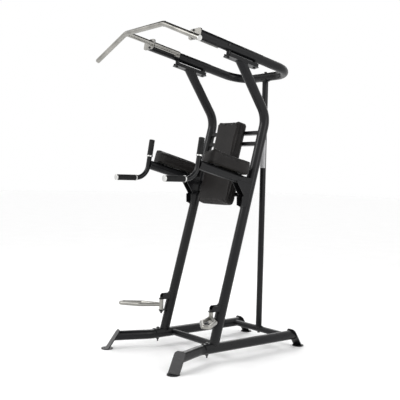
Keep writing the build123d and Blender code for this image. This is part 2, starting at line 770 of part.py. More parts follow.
# Steps: a chromed tube loop on a hub, swinging on an upright pin between the two ears of a
# bracket welded to the front of the upright. At rest each step points 45 degrees outward.
# The loop is two like limbs that meet at the tip, widest halfway along.
hub_radius = 14.0
hub_height = 71.4
pin_radius = 6.0
loop_radius = 12.7
loop_wall = 2.0
loop_bend = 15.0
step_rest_angle = 45.0
ear_thickness = 6.0
ear_gap = 36.0            # from the hub's middle height to an ear
ear_radius = 18.0
saddle_below = 50.0       # bracket's saddle, below and above the hub's middle
saddle_above = 75.0
hood_height = 74.0        # hood over the upper ear, above the hub's middle
hood_nose = 12.0          # its sloping front corner
hood_nose_height = 60.0
hood_rear = 60.0          # its rear end, behind the upright's foot
hood_plate = 4.0
hub_play = 0.08
pin_play = 0.02
pin_tail = 20.0           # pin's thread below the lower ear
step_limb = ((0, 1), (145, 42), (283, 20), (283, 0))

for side, sign in sides:
    x = sign * half_spacing
    lower = upright_frame(x)
    upright_rod = swept_rod(upright_points(x), upright_bend_radius, frame_radius)
    along = (step_z - rail_z) / cos(radians(upright_lean))
    with BuildPart() as step_bracket:
        with BuildSketch(lower.offset(along - saddle_below)):
            Circle(frame_radius + plate)
            Rectangle(3 * frame_radius, 2 * frame_radius, align=(Align.CENTER, Align.MAX), mode=Mode.SUBTRACT)
        extrude(amount=saddle_below + saddle_above)
        for ear_z in (step_z - ear_gap - ear_thickness, step_z + ear_gap):
            ear_length = foot_y - step_pin_y + (ear_z - rail_z) * tan(radians(upright_lean))
            with BuildSketch(Plane.XY.offset(ear_z)):
                with Locations((x, step_pin_y)):
                    Circle(ear_radius)
                    Rectangle(2 * ear_radius, ear_length, align=(Align.CENTER, Align.MIN))
            extrude(amount=ear_thickness)
        with BuildSketch(Plane.YZ.offset(x - ear_radius), Plane.YZ.offset(x + ear_radius - hood_plate)):
            with BuildLine():
                Polyline(
                    (step_pin_y, step_z + ear_gap), (step_pin_y, step_z + hood_nose_height),
                    (step_pin_y + hood_nose, step_z + hood_height),
                    (foot_y + hood_rear, step_z + hood_height),
                    (foot_y + hood_rear, step_z + ear_gap), close=True,
                )
            make_face()
        extrude(amount=hood_plate)
        add(upright_rod, mode=Mode.SUBTRACT)
        with Locations((x, step_pin_y, step_z)):
            Cylinder(pin_radius + pin_play, 3 * hub_height, mode=Mode.SUBTRACT)
    finish(step_bracket.part, f"{side}_step_bracket")

    turn = radians(sign * step_rest_angle)
    step_frame = Plane(
        origin=(x, step_pin_y, step_z), x_dir=(sin(turn), -cos(turn), 0), z_dir=(0, 0, 1)
    )
    limbs = [
        [step_frame.from_local_coords((a, mirror_b * b, 0)) for a, b in step_limb]
        for mirror_b in (1, -1)
    ]
    with BuildPart() as step:
        add([swept_rod(limb, loop_bend, loop_radius) for limb in limbs])
        add([swept_rod(limb, loop_bend, loop_radius - loop_wall) for limb in limbs], mode=Mode.SUBTRACT)
        with Locations((x, step_pin_y, step_z)):
            Cylinder(hub_radius, hub_height)
            Cylinder(pin_radius + hub_play, 2 * hub_height, mode=Mode.SUBTRACT)
    finish(step.part, f"{side}_step")

    pin_top = Plane(
        origin=(x, step_pin_y, step_z + ear_gap + ear_thickness), x_dir=(1, 0, 0), z_dir=(0, 0, -1)
    )
    pin_reach = 2 * (ear_gap + ear_thickness)
    finish(hex_bolt(pin_top, 2 * pin_radius, pin_reach + pin_tail, pin_reach), f"{side}_step_pin")


# Fasteners: each node is one group of like bolts or screws
thread_end = 22.0         # thread beyond what a bolt clamps
screw_bite = 9.0          # a board screw's length in its board
rail_bolts = [
    hex_bolt(
        Plane(
            origin=(sign * half_spacing, foot_y - saddle_bolt_gap, rail_z + frame_radius + plate),
            x_dir=(1, 0, 0), z_dir=(0, 0, -1),
        ),
        bolt_10, 2 * frame_radius + plate + thread_end, 2 * frame_radius + plate,
    )
    for side, sign in sides
]
post_bolts = [
    hex_bolt(
        Plane(origin=(0, post_y, rail_z - cross_radius), x_dir=(1, 0, 0), z_dir=(0, 0, 1)),
        bolt_10, 2 * cross_radius + thread_end,
    ),
    hex_bolt(
        Plane(origin=bow_centre + Vector(0, 0, bow_radius), x_dir=(1, 0, 0), z_dir=(0, 0, -1)),
        bolt_10, 2 * bow_radius + thread_end,
    ),
]
flange_bolts = [
    hex_bolt(
        Plane(
            origin=middle.from_local_coords((sign * flange_bolt_x, boom_front - 2 * plate, rise)),
            x_dir=(1, 0, 0), z_dir=middle.y_dir,
        ),
        bolt_8, 2 * plate + thread_end / 2, 2 * plate,
    )
    for side, sign in sides for rise in (-flange_bolt_rise, flange_bolt_rise)
]
lug_bolts = [
    hex_bolt(
        Plane(
            origin=middle.from_local_coords((sign * (half_spacing + frame_radius), lug_bolt_along, 0)),
            x_dir=middle.y_dir, z_dir=(-sign, 0, 0),
        ),
        bolt_8, 2 * frame_radius + lug_plate + thread_end / 2, 2 * frame_radius + lug_plate,
    )
    for side, sign in sides
]
top_plate_bolts = [
    hex_bolt(
        Plane(
            origin=boom_frame(sign * half_spacing).from_local_coords((0, spot, top_plate_level - plate)),
            x_dir=(1, 0, 0), z_dir=middle.z_dir,
        ),
        bolt_10, plate + thread_end,
    )
    for side, sign in sides for spot in boss_spots
]
arm_pad_screws = [hex_bolt(seat, bolt_6, seat_plate + screw_bite) for seat in arm_screw_seats]
back_pad_screws = [hex_bolt(seat, bolt_6, bar_size + screw_bite) for seat in back_screw_seats]

for name, pieces in (
    ("rail_bolts", rail_bolts), ("post_bolts", post_bolts), ("flange_bolts", flange_bolts),
    ("lug_bolts", lug_bolts), ("top_plate_bolts", top_plate_bolts),
    ("arm_pad_screws", arm_pad_screws), ("back_pad_screws", back_pad_screws),
):
    with BuildPart() as group:
        add(pieces)
    finish(group.part, name)
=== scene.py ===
from math import ceil, cos, pi, radians, sin
import bpy
import numpy as np
from mathutils import Matrix, Vector
from mathutils.bvhtree import BVHTree
from mathutils.kdtree import KDTree


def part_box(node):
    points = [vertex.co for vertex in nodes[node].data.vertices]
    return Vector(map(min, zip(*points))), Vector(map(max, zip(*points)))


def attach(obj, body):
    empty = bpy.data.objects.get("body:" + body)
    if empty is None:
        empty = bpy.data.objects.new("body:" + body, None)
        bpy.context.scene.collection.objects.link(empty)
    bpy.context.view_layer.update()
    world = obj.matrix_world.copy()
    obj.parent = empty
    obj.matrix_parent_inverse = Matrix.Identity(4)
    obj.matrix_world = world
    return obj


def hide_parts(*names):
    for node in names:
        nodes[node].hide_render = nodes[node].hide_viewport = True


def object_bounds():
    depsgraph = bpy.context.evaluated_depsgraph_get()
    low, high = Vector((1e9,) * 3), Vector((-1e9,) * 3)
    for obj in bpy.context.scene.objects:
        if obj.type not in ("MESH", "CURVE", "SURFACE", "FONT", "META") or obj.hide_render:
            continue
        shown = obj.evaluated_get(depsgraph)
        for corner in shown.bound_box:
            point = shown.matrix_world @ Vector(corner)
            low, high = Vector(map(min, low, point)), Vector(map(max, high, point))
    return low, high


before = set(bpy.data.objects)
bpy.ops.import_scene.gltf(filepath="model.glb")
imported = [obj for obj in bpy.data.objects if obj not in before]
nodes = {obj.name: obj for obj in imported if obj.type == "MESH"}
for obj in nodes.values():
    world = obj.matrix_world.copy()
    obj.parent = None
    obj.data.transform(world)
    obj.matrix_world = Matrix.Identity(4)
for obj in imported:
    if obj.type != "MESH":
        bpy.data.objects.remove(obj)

cad_low, cad_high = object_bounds()
sides = (("left", -1), ("right", 1))


# Base rails, feet and cross tubes: mild steel tube and bent strip, welded up and sprayed with
# black powder, then baked. The powder cures with a faint orange peel, thins over sharp edges,
# and picks up small scuffs.
def new_finish(name, sockets):
    """A material with the given values on its shader's own sockets."""
    finish = bpy.data.materials.new(name)
    finish.use_nodes = True
    shader = finish.node_tree.nodes["Principled BSDF"]
    for socket, value in sockets.items():
        shader.inputs[socket].default_value = value
    return finish


def add_node(finish, kind, settings=None, inputs=None):
    """One node, with its settings and its inputs, each a value or another node's output."""
    node = finish.node_tree.nodes.new("ShaderNode" + kind)
    for key, value in (settings or {}).items():
        setattr(node, key, value)
    for key, value in (inputs or {}).items():
        if isinstance(value, bpy.types.NodeSocket):
            finish.node_tree.links.new(value, node.inputs[key])
        else:
            node.inputs[key].default_value = value
    return node


def drive(finish, socket, output):
    """Joins an output to one of the shader's sockets."""
    shader = finish.node_tree.nodes["Principled BSDF"]
    finish.node_tree.links.new(output, shader.inputs[socket])


def place_in(finish, stretch=(1, 1, 1)):
    """Where a point lies on the piece, in metres, stretched as asked."""
    where = add_node(finish, "TexCoord")
    return add_node(
        finish, "Mapping", {}, {"Vector": where.outputs["Object"], "Scale": stretch}
    ).outputs["Vector"]


def noise(finish, where, scale, detail=2.0, roughness=0.5):
    return add_node(
        finish, "TexNoise", {},
        {"Vector": where, "Scale": scale, "Detail": detail, "Roughness": roughness},
    ).outputs["Fac"]


def spread(finish, value, low, high, start=0.3, end=0.7):
    """A value between start and end, carried over to low and high."""
    return add_node(
        finish, "MapRange", {},
        {"Value": value, "From Min": start, "From Max": end, "To Min": low, "To Max": high},
    ).outputs["Result"]


def tint(finish, value, dark, light):
    """A colour between dark and light, by a value from 0 to 1."""
    mix = add_node(finish, "Mix", {"data_type": "RGBA"}, {"Factor": value})
    mix.inputs[6].default_value = (*dark, 1)
    mix.inputs[7].default_value = (*light, 1)
    return mix.outputs[2]


def soft_edges(finish, radius):
    """The normal of a surface whose sharp edges are broken by a small radius."""
    return add_node(finish, "Bevel", {"samples": 4}, {"Radius": radius}).outputs["Normal"]


def relief(finish, height, depth, strength, normal=None):
    """A bump of that depth in metres."""
    inputs = {"Height": height, "Distance": depth, "Strength": strength}
    if normal is not None:
        inputs["Normal"] = normal
    return add_node(finish, "Bump", {}, inputs).outputs["Normal"]


def edge_share(finish, rounded):
    """0 on a flat or gently curved face, rising to 1 along a sharp edge."""
    flat = add_node(finish, "NewGeometry").outputs["Normal"]
    match = add_node(
        finish, "VectorMath", {"operation": "DOT_PRODUCT"}, {0: rounded, 1: flat}
    ).outputs["Value"]
    return spread(finish, match, 0.0, 1.0, 0.985, 0.86)


powder_coat = new_finish(
    "black_powder_coat",
    {"Coat Weight": 0.10, "Coat Roughness": 0.10, "IOR": 1.45, "Specular IOR Level": 0.24},
)
where = place_in(powder_coat)
rounded = soft_edges(powder_coat, 0.0016)
peel = noise(powder_coat, where, 380.0, 3.0)
cloudy = noise(powder_coat, where, 5.0, 5.0)
scuffs = noise(powder_coat, place_in(powder_coat, (9, 9, 60)), 3.0, 8.0, 0.65)
worn = add_node(
    powder_coat, "Math", {"operation": "MULTIPLY"},
    {0: edge_share(powder_coat, rounded), 1: spread(powder_coat, scuffs, 0.0, 1.0, 0.4, 0.65)},
).outputs["Value"]
shade = add_node(powder_coat, "Mix", {"data_type": "RGBA"}, {"Factor": worn})
powder_coat.node_tree.links.new(
    tint(
        powder_coat, spread(powder_coat, cloudy, 0.0, 1.0),
        (0.0035, 0.0036, 0.0048), (0.0080, 0.0080, 0.0086),
    ),
    shade.inputs[6],
)
shade.inputs[7].default_value = (0.045, 0.045, 0.047, 1)
drive(powder_coat, "Base Color", shade.outputs[2])
drive(powder_coat, "Roughness", spread(powder_coat, scuffs, 0.24, 0.40))
drive(powder_coat, "Normal", relief(powder_coat, peel, 0.0003, 0.35, rounded))


def dress(names, finish):
    """Gives CAD nodes their finish."""
    for name in names:
        node = nodes[name]
        node.data.materials.clear()
        node.data.materials.append(finish)


both = [f"{side}_" for side, sign in sides]
base_pieces = ["base_rail", "front_foot", "rear_foot", "foot_saddle"]
dress([s + piece for s in both for piece in base_pieces], powder_coat)
dress(["front_cross_tube", "rear_cross_tube"], powder_coat)


# Welds: where one steel piece meets another, a bead of filler metal is laid round the joint by
# a robot torch, in short overlapping ripples, before the frame is sprayed.
bead_radius = 0.0026
ripple_pitch = 0.0040
rings_per_ripple = 4
bead_facets = 10
ripple_low = 0.86         # a ripple's thinnest place, as a share of the bead's radius
ripple_rise = 0.22        # and how much it gains
start_outside = 0.2       # joints are traced from this far off
weld_clear = 0.0002       # traced just outside a tube that is already part of the surface


def middle_of(node):
    low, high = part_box(node)
    return (low + high) / 2


def surface_of(*names):
    """The faces of several CAD nodes, to be met by straight lines."""
    points, faces = [], []
    for name in names:
        mesh = nodes[name].data
        first = len(points)
        points += [v.co.copy() for v in mesh.vertices]
        faces += [[first + i for i in p.vertices] for p in mesh.polygons]
    return BVHTree.FromPolygons(points, faces)


def round_section(radius, count=72):
    return [(radius * cos(2 * pi * k / count), radius * sin(2 * pi * k / count)) for k in range(count)]


def square_section(width, corner, per_side=14, per_corner=5):
    """A square with rounded corners, point by point round its edge."""
    flat = width / 2 - corner
    points = []
    for quarter in range(4):
        turn = Matrix.Rotation(quarter * pi / 2, 2)
        for k in range(per_side):
            points.append(turn @ Vector((width / 2, flat * (2 * k / per_side - 1))))
        for k in range(per_corner):
            angle = k / per_corner * pi / 2
            points.append(turn @ Vector((flat + corner * cos(angle), flat + corner * sin(angle))))
    return [tuple(p) for p in points]


def joint_line(section, start, direction, across, onto, reach=0.4):
    """Where a tube of that section, run along direction from start, meets a surface."""
    direction = Vector(direction).normalized()
    across = Vector(across).normalized()
    third = direction.cross(across)
    met = [
        onto.ray_cast(Vector(start) + across * a + third * b, direction, reach)[0]
        for a, b in section
    ]
    return [p for p in met if p is not None]


def even_steps(points, step, closed=True):
    """The same line, as points a set distance apart."""
    line = np.array([tuple(p) for p in points])
    if closed:
        line = np.vstack([line, line[:1]])
    travelled = np.concatenate([[0], np.cumsum(np.linalg.norm(np.diff(line, axis=0), axis=1))])
    count = max(4, int(round(travelled[-1] / step)))
    at = np.linspace(0, travelled[-1], count + (0 if closed else 1), endpoint=not closed)
    return np.stack([np.interp(at, travelled, line[:, k]) for k in range(3)], axis=1)


def tube_along(points, radii, facets, closed=True):
    """Vertices and faces of a tube through points, with a radius at each."""
    count = len(points)
    ahead = np.roll(points, -1, 0) - np.roll(points, 1, 0)
    if not closed:
        ahead[0] = points[1] - points[0]
        ahead[-1] = points[-1] - points[-2]
    ahead /= np.linalg.norm(ahead, axis=1)[:, None] + 1e-12
    rings = []
    side = np.cross(ahead[0], (0.31, 0.52, 0.79))
    for k in range(count):
        side = side - ahead[k] * (side @ ahead[k])
        side = side / np.linalg.norm(side)
        up = np.cross(ahead[k], side)
        turns = np.arange(facets) * 2 * pi / facets
        outward = np.outer(np.cos(turns), side) + np.outer(np.sin(turns), up)
        rings.append(points[k] + radii[k] * outward)
    faces = []
    for k in range(count if closed else count - 1):
        here, there = k * facets, (k + 1) % count * facets
        shift = 0
        if closed and k == count - 1:
            gaps = [np.linalg.norm(rings[-1][0] - rings[0][s]) for s in range(facets)]
            shift = int(np.argmin(gaps))
        for j in range(facets):
            nxt = (j + 1) % facets
            beyond = there + (nxt + shift) % facets
            faces.append((here + j, here + nxt, beyond, there + (j + shift) % facets))
    if not closed:
        faces.append(tuple(reversed(range(facets))))
        faces.append(tuple(range((count - 1) * facets, count * facets)))
    return np.vstack(rings), faces


def new_piece(name, parts, finish, body="frame"):
    """One object from several sets of vertices and faces, riding on a body."""
    points, faces = [], []
    for part_points, part_faces in parts:
        first = len(points)
        points += [tuple(p) for p in part_points]
        faces += [tuple(first + i for i in f) for f in part_faces]
    mesh = bpy.data.meshes.new(name)
    mesh.from_pydata(points, [], faces)
    mesh.validate()
    mesh.shade_smooth()
    mesh.materials.append(finish)
    piece = bpy.data.objects.new(name, mesh)
    bpy.context.scene.collection.objects.link(piece)
    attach(piece, body)
    return piece


def weld_bead(line, closed=True):
    """One bead along a joint, each ripple fat where it ends and thin where the next begins."""
    steps = even_steps(line, ripple_pitch / rings_per_ripple, closed)
    phase = (np.arange(len(steps)) % rings_per_ripple) / rings_per_ripple
    radii = bead_radius * (ripple_low + ripple_rise * np.sqrt(phase))
    if not closed:
        taper = np.minimum(np.arange(len(steps)), np.arange(len(steps))[::-1]) / 3
        radii = radii * np.minimum(1, 0.35 + 0.65 * taper)
    return tube_along(steps, radii, bead_facets, closed)


frame_radius = 0.03175
cross_radius = 0.0212
inside_the_rails = 0.18
cross_welds = []
for tube in ("front_cross_tube", "rear_cross_tube"):
    centre = middle_of(tube)
    for side, sign in sides:
        line = joint_line(
            round_section(cross_radius), centre + Vector((sign * inside_the_rails, 0, 0)),
            (sign, 0, 0), (0, 1, 0),
            surface_of(f"{side}_base_rail"),
        )
        cross_welds.append(weld_bead(line))
new_piece("cross_tube_welds", cross_welds, powder_coat)


# Uprights: one bent tube per side. Its mitred foot is welded to a curved saddle bolted over the
# rail, and its top end is welded under a flat plate that carries the boom.
upright_lean = radians(15.2)
top_lean = radians(34.8)
bend_height = 1.566
saddle_ahead = 0.080      # saddle's front edge, ahead of the upright's foot
up_the_upright = Vector((0, sin(upright_lean), cos(upright_lean)))
ahead_of_upright = Vector((0, -cos(upright_lean), sin(upright_lean)))
to_the_top = Vector((0, -sin(top_lean), cos(top_lean)))

dress([s + "upright" for s in both] + [s + "top_plate" for s in both], powder_coat)


def foot_of(side):
    """Where an upright's centre line meets its rail's centre line."""
    rail_middle = middle_of(f"{side}_rear_foot").x
    saddle_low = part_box(f"{side}_foot_saddle")[0]
    rail_low, rail_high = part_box(f"{side}_base_rail")
    return Vector((rail_middle, saddle_low.y + saddle_ahead, (rail_low.z + rail_high.z) / 2))


for side, sign in sides:
    foot = foot_of(side)
    bend = foot + up_the_upright * ((bend_height - foot.z) / up_the_upright.z)
    welds = [
        weld_bead(joint_line(
            round_section(frame_radius), foot + up_the_upright * start_outside, -up_the_upright, (1, 0, 0),
            surface_of(f"{side}_foot_saddle"),
        )),
        weld_bead(joint_line(
            round_section(frame_radius), bend + to_the_top * start_outside, to_the_top, (1, 0, 0),
            surface_of(f"{side}_top_plate"),
        )),
    ]
    new_piece(f"{side}_upright_welds", welds, powder_coat)


# Booms, rear bow and rear post: a straight tube over each top plate on two welded bosses, with
# the bow's two ends slid into them, and a thin post from the base to the middle of the bow.
boom_slope = radians(10.1)
boss_radius = 0.014
boss_shifts = (-0.114, 0.115)   # the bosses, along the boom from the top plate's middle
boss_rise = 0.012         # a height above the plate where a boss stands clear
along_boom = Vector((0, cos(boom_slope), -sin(boom_slope)))
square_to_boom = Vector((0, sin(boom_slope), cos(boom_slope)))

dress([s + "boom" for s in both] + ["rear_bow", "rear_post"], powder_coat)
for side, sign in sides:
    plate_middle = middle_of(f"{side}_top_plate")
    boom_surface = surface_of(f"{side}_boom")
    welds = [
        weld_bead(joint_line(
            round_section(boss_radius + weld_clear),
            plate_middle + along_boom * shift + square_to_boom * boss_rise,
            square_to_boom, (1, 0, 0), boom_surface,
        ))
        for shift in boss_shifts
    ]
    new_piece(f"{side}_boom_welds", welds, powder_coat)


# Pull-up bar: bent and welded steel tube, ground smooth and plated in satin chrome. Hands have
# left the plating faintly clouded, with fine polishing lines round the tube.
satin_chrome = new_finish("satin_chrome", {"Metallic": 1.0})
where = place_in(satin_chrome)
rounded = soft_edges(satin_chrome, 0.0012)
clouds = noise(satin_chrome, where, 14.0, 5.0)
polish = noise(satin_chrome, place_in(satin_chrome, (3, 1, 1)), 900.0, 4.0, 0.6)
drive(satin_chrome, "Base Color", tint(
    satin_chrome, spread(satin_chrome, clouds, 0.0, 1.0), (0.27, 0.265, 0.245), (0.38, 0.37, 0.345)
))
drive(satin_chrome, "Roughness", spread(satin_chrome, clouds, 0.25, 0.38))
drive(satin_chrome, "Normal", relief(satin_chrome, polish, 0.00002, 0.12, rounded))
dress(["pull_up_bar", "left_step", "right_step"], satin_chrome)

bar_radius = 0.0159
side_tube_inset = 0.205   # side tubes of the bar, from the middle plane
behind_the_bar = 0.10
bar_low, bar_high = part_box("pull_up_bar")
bar_surface = surface_of("pull_up_bar")
bar_welds = []
for side, sign in sides:
    start = Vector((sign * side_tube_inset, bar_low.y + bar_radius, bar_high.z - bar_radius))
    start += along_boom * behind_the_bar
    bar_welds.append(weld_bead(joint_line(
        round_section(bar_radius + weld_clear), start, -along_boom, (1, 0, 0), bar_surface,
    )))
new_piece("pull_up_bar_welds", bar_welds, satin_chrome)


# Pad bars: square tube welded between the uprights, two behind each back board, drilled for
# the board's screws.
bar_size = 0.0254
bar_corner = 0.003
pad_bars = ["upper_pad_bar_1", "upper_pad_bar_2", "lower_pad_bar_1", "lower_pad_bar_2"]
dress(pad_bars, powder_coat)
for pad_bar in pad_bars:
    welds = [
        weld_bead(joint_line(
            square_section(bar_size, bar_corner), middle_of(pad_bar) + Vector((sign * start_outside, 0, 0)),
            (sign, 0, 0), up_the_upright, surface_of(f"{side}_upright"),
        ))
        for side, sign in sides
    ]
    new_piece(f"{pad_bar}_welds", welds, powder_coat)


# Arms and handles: a sloping tube per side, held by a folded bracket welded to the upright, with
# a bent handle tube let into its front end.
arm_slope = radians(14.0)
arm_height = 1.198        # arm's centre line, straight above the upright's foot
arm_radius = 0.03015
saddle_ends = (0.913, 1.160)    # the bracket's two cut ends, along the upright
ahead_on_arm = Vector((0, -cos(arm_slope), sin(arm_slope)))
square_to_arm = Vector((0, sin(arm_slope), cos(arm_slope)))

arm_pieces = ["arm", "arm_bracket", "handle_tube"]
dress([s + piece for s in both for piece in arm_pieces], powder_coat)


def round_the_upright(side, height, reach):
    """The line where a saddle's cut end lies on an upright, at a height along it."""
    foot = foot_of(side)
    centre = foot + up_the_upright * height
    sideways = Vector((1, 0, 0))
    return [
        centre + (sideways * sin(angle) + ahead_of_upright * cos(angle)) * frame_radius
        for angle in np.linspace(-reach, reach, 40)
    ]


for side, sign in sides:
    foot = foot_of(side)
    arm_start = Vector((foot.x, foot.y, arm_height))
    welds = [weld_bead(joint_line(
        round_section(arm_radius), arm_start, -ahead_on_arm, (1, 0, 0),
        surface_of(f"{side}_arm_bracket", f"{side}_upright"), 0.6,
    ))]
    welds += [
        weld_bead(round_the_upright(side, height, radians(62)), closed=False)
        for height in saddle_ends
    ]
    new_piece(f"{side}_arm_welds", welds, powder_coat)


# Grips: ribbed black rubber sleeves pushed over the handle's two ends.
rubber = new_finish("black_rubber", {"IOR": 1.48, "Specular IOR Level": 0.22})
where = place_in(rubber)
drive(rubber, "Base Color", tint(
    rubber, spread(rubber, noise(rubber, where, 30.0, 5.0), 0.0, 1.0),
    (0.006, 0.006, 0.0065), (0.014, 0.014, 0.014),
))
drive(rubber, "Roughness", spread(rubber, noise(rubber, where, 60.0, 4.0), 0.55, 0.72))
drive(rubber, "Normal", relief(rubber, noise(rubber, where, 1400.0, 2.0), 0.0002, 0.5))

grip_radius = 0.019
grip_inner = 0.0161
rib_pitch = 0.0045
rib_depth = 0.0007
rib_points = 6
grip_facets = 48
grip_plain = 0.009        # smooth length at each end
grip_round = 0.006        # rounding of a closed end


def lathe(profile, start, axis, facets):
    """A closed ring of material from a closed profile of (along, radius) points."""
    axis = Vector(axis).normalized()
    across = axis.orthogonal().normalized()
    third = axis.cross(across)
    points, count = [], len(profile)
    for k in range(facets):
        turn = 2 * pi * k / facets
        out = across * cos(turn) + third * sin(turn)
        points += [tuple(Vector(start) + axis * a + out * r) for a, r in profile]
    faces = [
        (k * count + j, k * count + (j + 1) % count,
         (k + 1) % facets * count + (j + 1) % count, (k + 1) % facets * count + j)
        for k in range(facets) for j in range(count)
    ]
    return points, faces


def grip_profile(length, domed):
    """A sleeve with shallow ribs between two plain ends; domed closes the far end over."""
    ribs = int((length - 2 * grip_plain) / rib_pitch)
    outline = [
        (0.0, grip_inner), (0.0, grip_radius - 0.0012),
        (0.0004, grip_radius - 0.0004), (0.0012, grip_radius),
    ]
    start = (length - ribs * rib_pitch) / 2
    for k in range(ribs * rib_points + 1):
        dip = rib_depth * (0.5 - 0.5 * cos(2 * pi * k / rib_points)) ** 0.6
        outline.append((start + k * rib_pitch / rib_points, grip_radius - dip))
    if domed:
        for step in range(9):
            turn = step / 8 * pi / 2
            along = length - grip_round + grip_round * sin(turn)
            outline.append((along, grip_radius - grip_round + grip_round * cos(turn)))
        outline += [
            (length, 0.008), (length, 0.0004),
            (length - 0.005, 0.0004), (length - 0.005, grip_inner),
        ]
    else:
        outline += [
            (length - 0.0012, grip_radius), (length - 0.0004, grip_radius - 0.0004),
            (length, grip_radius - 0.0012), (length, grip_inner),
        ]
    return outline


for side, sign in sides:
    low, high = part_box(f"{side}_dip_grip")
    start = Vector(((low.x + high.x) / 2, high.y, (low.z + high.z) / 2))
    grip = new_piece(
        f"{side}_dip_grip_sleeve",
        [lathe(grip_profile(high.y - low.y, False), start, (0, -1, 0), grip_facets)],
        rubber,
    )
    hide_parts(f"{side}_dip_grip")

    points = np.array([tuple(v.co) for v in nodes[f"{side}_vertical_grip"].data.vertices])
    centre = points.mean(0)
    grip_axis = Vector(np.linalg.svd(points - centre)[2][0])
    if grip_axis.z < 0:
        grip_axis = -grip_axis
    reach = (points - centre) @ np.array(grip_axis)
    start = Vector(centre) + grip_axis * float(reach.min())
    grip = new_piece(
        f"{side}_vertical_grip_sleeve",
        [lathe(grip_profile(float(reach.max() - reach.min()), True), start, grip_axis, grip_facets)],
        rubber,
    )
    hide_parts(f"{side}_vertical_grip")


# Trim: collars and caps that hold the grips, and the domed plugs in the bar, moulded in plastic
# and plated bright silver.
plated_plastic = new_finish("plated_plastic", {"Metallic": 1.0})
where = place_in(plated_plastic)
rounded = soft_edges(plated_plastic, 0.0009)
drive(plated_plastic, "Base Color", tint(
    plated_plastic, spread(plated_plastic, noise(plated_plastic, where, 40.0, 4.0), 0.0, 1.0),
    (0.60, 0.60, 0.59), (0.74, 0.74, 0.72),
))
drive(plated_plastic, "Roughness", spread(
    plated_plastic, noise(plated_plastic, where, 90.0, 3.0), 0.24, 0.36
))
drive(plated_plastic, "Normal", relief(
    plated_plastic, noise(plated_plastic, place_in(plated_plastic, (1, 9, 1)), 1200.0),
    0.00006, 0.4, rounded,
))
dress(["bar_end_caps", "dip_end_caps", "grip_collars"], plated_plastic)


# Boards: birch plywood cut with a router, sealed and painted matt black, behind and below the
# cushions. The plies show faintly through the paint on the cut edge.
board_paint = new_finish("painted_plywood", {"IOR": 1.45, "Specular IOR Level": 0.2})
where = place_in(board_paint)
rounded = soft_edges(board_paint, 0.0012)
grain = noise(board_paint, place_in(board_paint, (260, 40, 8)), 1.0, 6.0, 0.6)
drive(board_paint, "Base Color", tint(
    board_paint, spread(board_paint, grain, 0.0, 1.0), (0.010, 0.009, 0.008), (0.026, 0.024, 0.021)
))
drive(board_paint, "Roughness", spread(board_paint, grain, 0.55, 0.78))
drive(board_paint, "Normal", relief(board_paint, grain, 0.0004, 0.4, rounded))
boards = ["upper_back_board", "lower_back_board", "left_arm_board", "right_arm_board"]
dress(boards, board_paint)


# Cushions: dense foam under black upholstery vinyl, drawn tight over the board. The front panel
# is sewn to a side band with a thin welt between them and one row of topstitching inside it.
vinyl = new_finish(
    "black_vinyl",
    {"IOR": 1.42, "Specular IOR Level": 0.26, "Sheen Weight": 0.02, "Sheen Roughness": 0.5},
)
where = place_in(vinyl)
cells = add_node(
    vinyl, "TexVoronoi", {"feature": "SMOOTH_F1"},
    {"Vector": where, "Scale": 520.0, "Smoothness": 0.35, "Randomness": 0.9},
).outputs["Distance"]
creases = noise(vinyl, where, 160.0, 6.0, 0.62)
hide = add_node(vinyl, "Math", {"operation": "ADD"}, {0: cells, 1: creases}).outputs["Value"]
drive(vinyl, "Base Color", tint(
    vinyl, spread(vinyl, noise(vinyl, where, 9.0, 5.0), 0.0, 1.0),
    (0.0048, 0.0040, 0.0038), (0.0110, 0.0092, 0.0086),
))
drive(vinyl, "Roughness", spread(vinyl, creases, 0.38, 0.56))
drive(vinyl, "Normal", relief(vinyl, hide, 0.0005, 0.35))
thread = new_finish("black_thread", {"Roughness": 0.7})
twist = noise(thread, place_in(thread, (1, 1, 3)), 1800.0, 2.0)
drive(thread, "Base Color", tint(
    thread, spread(thread, twist, 0.0, 1.0), (0.012, 0.011, 0.011), (0.045, 0.042, 0.040)
))
drive(thread, "Normal", relief(thread, twist, 0.0002, 0.6))

voxel = 0.005
cover = 0.002             # the vinyl starts this far outside the pad's plain block
most_swell = 0.008
welt_radius = 0.0018
turn_over = 0.0095        # vinyl drawn down over the board's edge and stapled behind it
stitch_length = 0.0048
stitch_pitch = 0.0070
stitch_step = 0.0008      # thread points this far apart
back_lift = 0.0006        # the vinyl's back, off its own lowest plane
welt_dip = 0.0022         # how far the seam draws the vinyl in, and over what width
welt_dip_width = 0.0045
stitch_dip = 0.0008
stitch_dip_width = 0.0030


